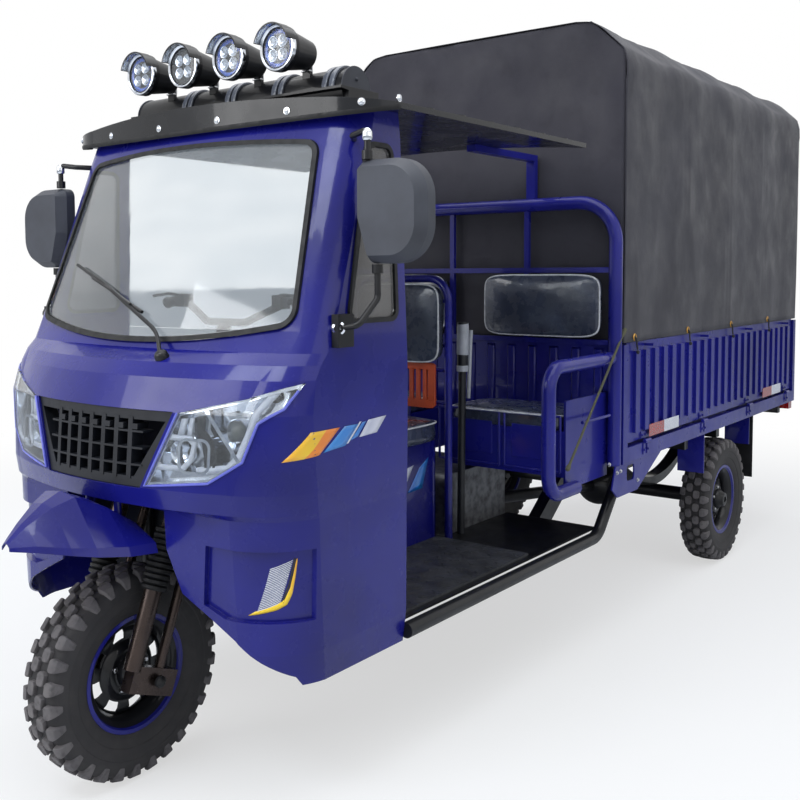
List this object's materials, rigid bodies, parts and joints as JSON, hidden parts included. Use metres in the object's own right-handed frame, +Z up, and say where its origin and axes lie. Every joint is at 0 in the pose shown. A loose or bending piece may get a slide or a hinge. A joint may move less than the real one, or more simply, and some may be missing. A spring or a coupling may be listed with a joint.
{
  "type": "cargo tricycle",
  "caption": "Three-wheeled cargo vehicle with a moulded cab front, passenger bench, drop-side bed and canvas cover on bows.",
  "frame": {"origin": "on the ground under the middle of the whole vehicle", "axes": "+Z up, the nose points to -Y, +X is the vehicle's left side"},
  "size_m": [1.632, 4.448, 2.299],
  "materials": {
    "blue_paint": "gloss",
    "black_paint": "satin",
    "black_plastic": "matte",
    "gloss_black": "gloss",
    "rubber": "matte",
    "tyre": "matte",
    "glass": "clear",
    "lens": "clear",
    "reflector": "bright",
    "vinyl": "satin",
    "canvas": "matte",
    "orange_plastic": "satin",
    "cast_metal": "rough",
    "red_lens": "gloss"
  },
  "bodies": {
    "vehicle": {"back_cushions": "vinyl", "backrest_frame": "blue_paint", "bed_bearers": "black_paint", "bed_floor": "blue_paint", "bed_posts": "blue_paint", "bench_box": "blue_paint", "bench_cushions": "vinyl", "bulkhead": "black_plastic", "cab_shell": "blue_paint", "chassis_frame": "black_paint", "driver_backrest": "vinyl", "driver_seat": "vinyl", "engine_block": "cast_metal", "floor_mat": "rubber", "front_fender": "blue_paint", "grille": "black_plastic", "guard_rails": "blue_paint", "gussets": "blue_paint", "hand_lever": "black_plastic", "head_frame": "black_paint", "headboard_hoop": "blue_paint", "headboard_panel": "blue_paint", "headlamp_housing": "reflector", "headlamp_lens": "lens", "leaf_springs": "black_paint", "light_bar": "black_paint", "lumbar_plate": "orange_plastic", "mirror_arms": "black_paint", "mirror_heads": "black_plastic", "mud_flaps": "rubber", "mudguards": "blue_paint", "quarter_glass": "glass", "quarter_seal": "rubber", "rear_axle": "black_paint", "rear_frame": "black_paint", "rear_lamps": "red_lens", "roof_lamps": "black_paint", "roof_panel": "gloss_black", "screen_glass": "glass", "screen_seal": "rubber", "seat_pod": "blue_paint", "side_rails": "black_paint", "step_floor": "black_paint", "tarp_bows": "black_paint", "tarp_front": "canvas", "tarp_rear": "canvas", "tarp_roof": "canvas", "tarp_sides": "canvas", "wiper": "black_plastic"},
    "steering": {"fork": "black_paint", "handlebar": "black_paint"},
    "front_wheel": {"front_rim": "black_paint", "front_tyre": "tyre"},
    "rear_left_wheel": {"rear_left_rim": "black_paint", "rear_left_tyre": "tyre"},
    "rear_right_wheel": {"rear_right_rim": "black_paint", "rear_right_tyre": "tyre"},
    "dropside_left": {"dropside_left": "blue_paint"},
    "dropside_right": {"dropside_right": "blue_paint"},
    "tailgate": {"tailgate": "blue_paint"}
  },
  "joints": [
    {"name": "steering", "type": "hinge", "parent": "vehicle", "child": "steering", "pos_m": [0, -1.845, 0.287], "axis": [0, 0.3649, 0.9311], "range_deg": [-38, 38]},
    {"name": "front_wheel", "type": "hinge", "parent": "steering", "child": "front_wheel", "pos_m": [0, -1.875, 0.287], "axis": [1, 0, 0], "continuous": true},
    {"name": "rear_left_wheel", "type": "hinge", "parent": "vehicle", "child": "rear_left_wheel", "pos_m": [0.582, 1.108, 0.287], "axis": [1, 0, 0], "continuous": true},
    {"name": "rear_right_wheel", "type": "hinge", "parent": "vehicle", "child": "rear_right_wheel", "pos_m": [-0.582, 1.108, 0.287], "axis": [1, 0, 0], "continuous": true},
    {"name": "dropside_left", "type": "hinge", "parent": "vehicle", "child": "dropside_left", "pos_m": [0.66, 1.056, 0.706], "axis": [0, 1, 0], "range_deg": [0, 170]},
    {"name": "dropside_right", "type": "hinge", "parent": "vehicle", "child": "dropside_right", "pos_m": [-0.66, 1.056, 0.706], "axis": [0, -1, 0], "range_deg": [0, 170]},
    {"name": "tailgate", "type": "hinge", "parent": "vehicle", "child": "tailgate", "pos_m": [0, 2.208, 0.706], "axis": [-1, 0, 0], "range_deg": [0, 175]}
  ]
}
